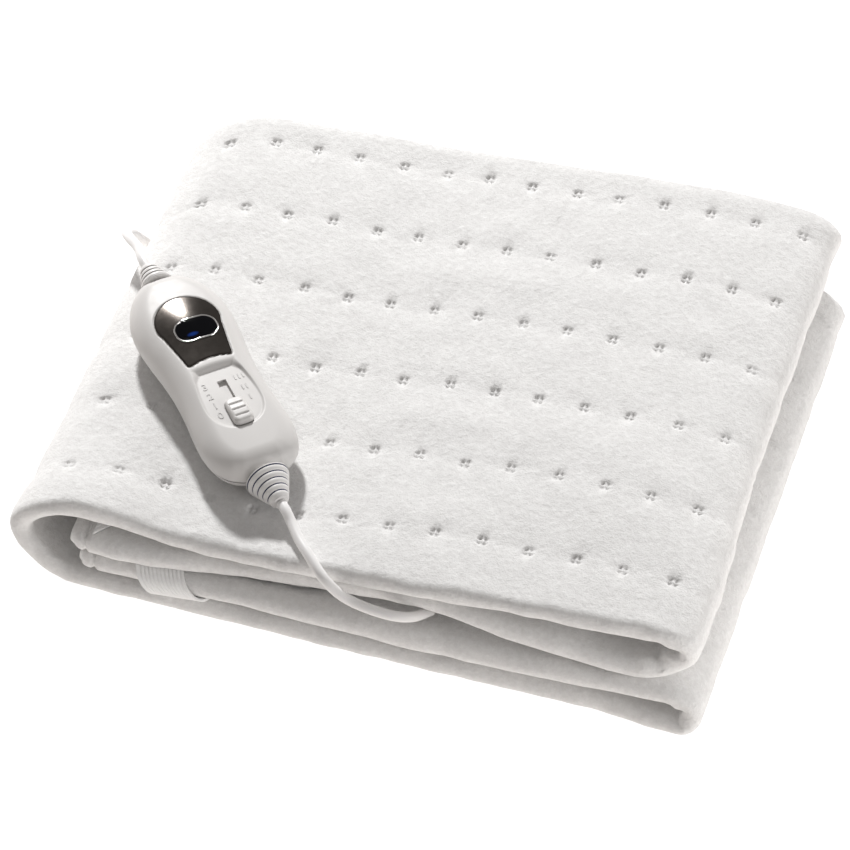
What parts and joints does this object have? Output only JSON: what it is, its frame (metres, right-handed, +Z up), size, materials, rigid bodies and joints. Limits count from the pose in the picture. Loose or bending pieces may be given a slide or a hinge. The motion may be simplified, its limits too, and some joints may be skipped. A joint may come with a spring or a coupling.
{
  "type": "electric heated blanket",
  "caption": "Electric heated underblanket of quilted fleece, folded into a pad, with a slide-switch hand controller, its leads and a two-pin plug.",
  "frame": {"origin": "under the middle of the folded blanket, on the surface that it lies on", "axes": "+Z up; +X along the folded length, from the wrapped end with the hollow to the end with the open folds; -Y to the fold that faces the viewer"},
  "size_m": [0.3678, 0.3483, 0.0802],
  "materials": {
    "fleece": "brushed polyester fleece, welded in dots",
    "elastic": "ribbed woven elastic",
    "case_plastic": "glossy moulded plastic",
    "panel_metal": "gunmetal lacquer",
    "window_glass": "polished dark lens",
    "relief_rubber": "satin moulded",
    "lead_sheath": "soft satin sheath",
    "plug_plastic": "satin moulded",
    "plug_nickel": "nickel plated",
    "tie_strip": "thin hook-and-loop strip"
  },
  "bodies": {
    "heated_blanket": {"blanket_cloth": "fleece", "corner_strap_hanging": "elastic", "corner_strap_lying": "elastic", "controller_base": "case_plastic", "controller_cover": "case_plastic", "display_panel": "panel_metal", "display_window": "window_glass", "relief_foot": "relief_rubber", "relief_head": "relief_rubber", "blanket_lead": "lead_sheath", "mains_lead": "lead_sheath", "mains_lead_hank": "lead_sheath", "plug_lead": "lead_sheath", "plug_relief": "plug_plastic", "plug_body": "plug_plastic", "plug_pin_1": "plug_nickel", "plug_pin_2": "plug_nickel", "hank_tie": "tie_strip"},
    "slider": {"heat_slider": "case_plastic"}
  },
  "joints": [
    {"name": "heat_slide", "type": "slide", "parent": "heated_blanket", "child": "slider", "axis": [-0.6691, 0.7431, 0], "range_m": [0, 0.0195]}
  ]
}
